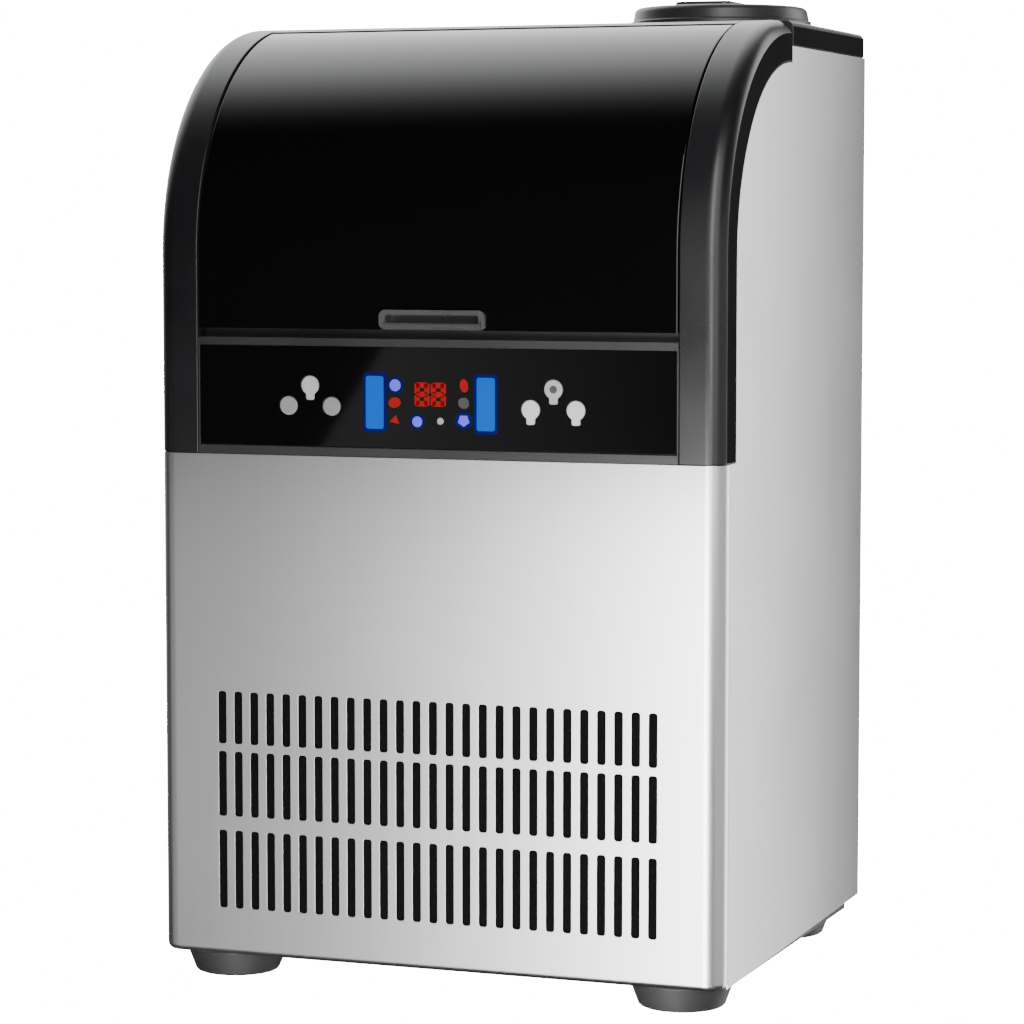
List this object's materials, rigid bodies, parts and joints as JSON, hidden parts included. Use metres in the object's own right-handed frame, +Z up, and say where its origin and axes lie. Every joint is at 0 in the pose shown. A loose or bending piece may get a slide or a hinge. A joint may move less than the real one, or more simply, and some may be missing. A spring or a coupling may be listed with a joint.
{
  "type": "ice maker",
  "caption": "Counter-top ice maker: arched black lid over an ice bin, touch-key control panel, slotted stainless front, and a capped bottle seat on top.",
  "frame": {"origin": "on the floor under the middle of the bounding box", "axes": "+Z up, the front faces -Y, +X to the right of someone facing the front"},
  "size_m": [0.37, 0.332, 0.6188],
  "materials": {
    "stainless": "fine vertical brushing",
    "zinc_sheet": "galvanised sheet",
    "black_paint": "matt black powder coat",
    "black_satin": "satin moulded ABS",
    "black_gloss": "polished black",
    "cap_black": "satin moulded",
    "foot_rubber": "moulded rubber",
    "key_grey": "fine matt",
    "pin_steel": "zinc plated",
    "liner_white": "food-safe moulded",
    "foam": "closed-cell foam",
    "tinned_copper": "tin plated",
    "copper": "drawn tube",
    "curtain_clear": "clear moulded sheet",
    "pump_plastic": "moulded nylon",
    "hose": "food-grade silicone",
    "compressor_black": "black enamel",
    "circuit_board": "solder resist",
    "display": "dark epoxy",
    "valve_plastic": "moulded nylon"
  },
  "bodies": {
    "cabinet": {"air_filter": "foam", "base_pan": "black_paint", "bin_front_throat": "liner_white", "bin_insulation": "foam", "bin_liner": "liner_white", "bottle_seat": "cap_black", "compressor": "compressor_black", "compressor_grommets": "foot_rubber", "compressor_terminal_cover": "compressor_black", "condenser_fins": "black_paint", "condenser_tubes": "copper", "control_box": "valve_plastic", "control_fascia": "black_satin", "display_module": "display", "display_window": "black_gloss", "drain_spout": "valve_plastic", "evaporator_coil": "copper", "evaporator_plate": "tinned_copper", "fan_motor": "pump_plastic", "fan_shroud": "black_paint", "filter_drier": "copper", "float_switch": "liner_white", "front_panel": "stainless", "ice_chute": "liner_white", "key_board": "circuit_board", "left_end_cheek": "black_satin", "left_side_panel": "stainless", "mains_inlet": "valve_plastic", "pump_body": "pump_plastic", "pump_motor": "pump_plastic", "rear_panel": "zinc_sheet", "refrigerant_pipes": "copper", "right_end_cheek": "black_satin", "right_side_panel": "stainless", "screws": "pin_steel", "top_cover": "black_satin", "water_distributor": "liner_white", "water_hoses": "hose", "water_inlet_valve": "valve_plastic", "water_trough": "liner_white"},
    "lid": {"lid": "black_gloss", "lid_liner": "liner_white", "lid_handle": "black_gloss", "lid_hinge_pins": "pin_steel"},
    "fan": {"fan_blade": "pump_plastic"},
    "impeller": {"pump_impeller": "pump_plastic"},
    "curtain": {"splash_curtain": "curtain_clear"},
    "float": {"water_float": "pump_plastic"},
    "seat_cap": {"bottle_seat_cap": "cap_black"},
    "drain_plug": {"drain_cap": "cap_black"},
    "key_1": {"key_1": "key_grey"},
    "key_2": {"key_2": "key_grey"},
    "key_3": {"key_3": "key_grey"},
    "key_4": {"key_4": "key_grey"},
    "key_5": {"key_5": "key_grey"},
    "key_6": {"key_6": "key_grey"},
    "foot_front_left": {"foot_front_left": "foot_rubber"},
    "foot_front_right": {"foot_front_right": "foot_rubber"},
    "foot_rear_left": {"foot_rear_left": "foot_rubber"},
    "foot_rear_right": {"foot_rear_right": "foot_rubber"}
  },
  "joints": [
    {"name": "lid_hinge", "type": "hinge", "parent": "cabinet", "child": "lid", "pos_m": [0, -0.0598, 0.58447], "axis": [-1, 0, 0], "range_deg": [0, 80]},
    {"name": "fan_spin", "type": "hinge", "parent": "cabinet", "child": "fan", "pos_m": [0.055, -0.098, 0.112], "axis": [0, 1, 0], "continuous": true},
    {"name": "impeller_spin", "type": "hinge", "parent": "cabinet", "child": "impeller", "pos_m": [0.074, 0.08875, 0.3535], "axis": [0, 0, 1], "continuous": true},
    {"name": "curtain_swing", "type": "hinge", "parent": "cabinet", "child": "curtain", "pos_m": [-0.028, 0.051, 0.557], "axis": [-1, 0, 0], "range_deg": [0, 35]},
    {"name": "float_rise", "type": "slide", "parent": "cabinet", "child": "float", "axis": [0, 0, 1], "range_m": [0, 0.012]},
    {"name": "seat_cap_lift", "type": "slide", "parent": "cabinet", "child": "seat_cap", "axis": [0, 0, 1], "range_m": [0, 0.2]},
    {"name": "drain_cap_pull", "type": "slide", "parent": "cabinet", "child": "drain_plug", "axis": [0, 1, 0], "range_m": [0, 0.03]},
    {"name": "key_1_press", "type": "slide", "parent": "cabinet", "child": "key_1", "axis": [0, 1, 0], "range_m": [0, 0.0008], "stiffness_N_per_m": 200, "springref_m": -0.002},
    {"name": "key_2_press", "type": "slide", "parent": "cabinet", "child": "key_2", "axis": [0, 1, 0], "range_m": [0, 0.0008], "stiffness_N_per_m": 200, "springref_m": -0.002},
    {"name": "key_3_press", "type": "slide", "parent": "cabinet", "child": "key_3", "axis": [0, 1, 0], "range_m": [0, 0.0008], "stiffness_N_per_m": 200, "springref_m": -0.002},
    {"name": "key_4_press", "type": "slide", "parent": "cabinet", "child": "key_4", "axis": [0, 1, 0], "range_m": [0, 0.0008], "stiffness_N_per_m": 200, "springref_m": -0.002},
    {"name": "key_5_press", "type": "slide", "parent": "cabinet", "child": "key_5", "axis": [0, 1, 0], "range_m": [0, 0.0008], "stiffness_N_per_m": 200, "springref_m": -0.002},
    {"name": "key_6_press", "type": "slide", "parent": "cabinet", "child": "key_6", "axis": [0, 1, 0], "range_m": [0, 0.0008], "stiffness_N_per_m": 200, "springref_m": -0.002},
    {"name": "foot_front_left_extend", "type": "slide", "parent": "cabinet", "child": "foot_front_left", "axis": [0, 0, -1], "range_m": [0, 0.008]},
    {"name": "foot_front_right_extend", "type": "slide", "parent": "cabinet", "child": "foot_front_right", "axis": [0, 0, -1], "range_m": [0, 0.008]},
    {"name": "foot_rear_left_extend", "type": "slide", "parent": "cabinet", "child": "foot_rear_left", "axis": [0, 0, -1], "range_m": [0, 0.008]},
    {"name": "foot_rear_right_extend", "type": "slide", "parent": "cabinet", "child": "foot_rear_right", "axis": [0, 0, -1], "range_m": [0, 0.008]}
  ]
}
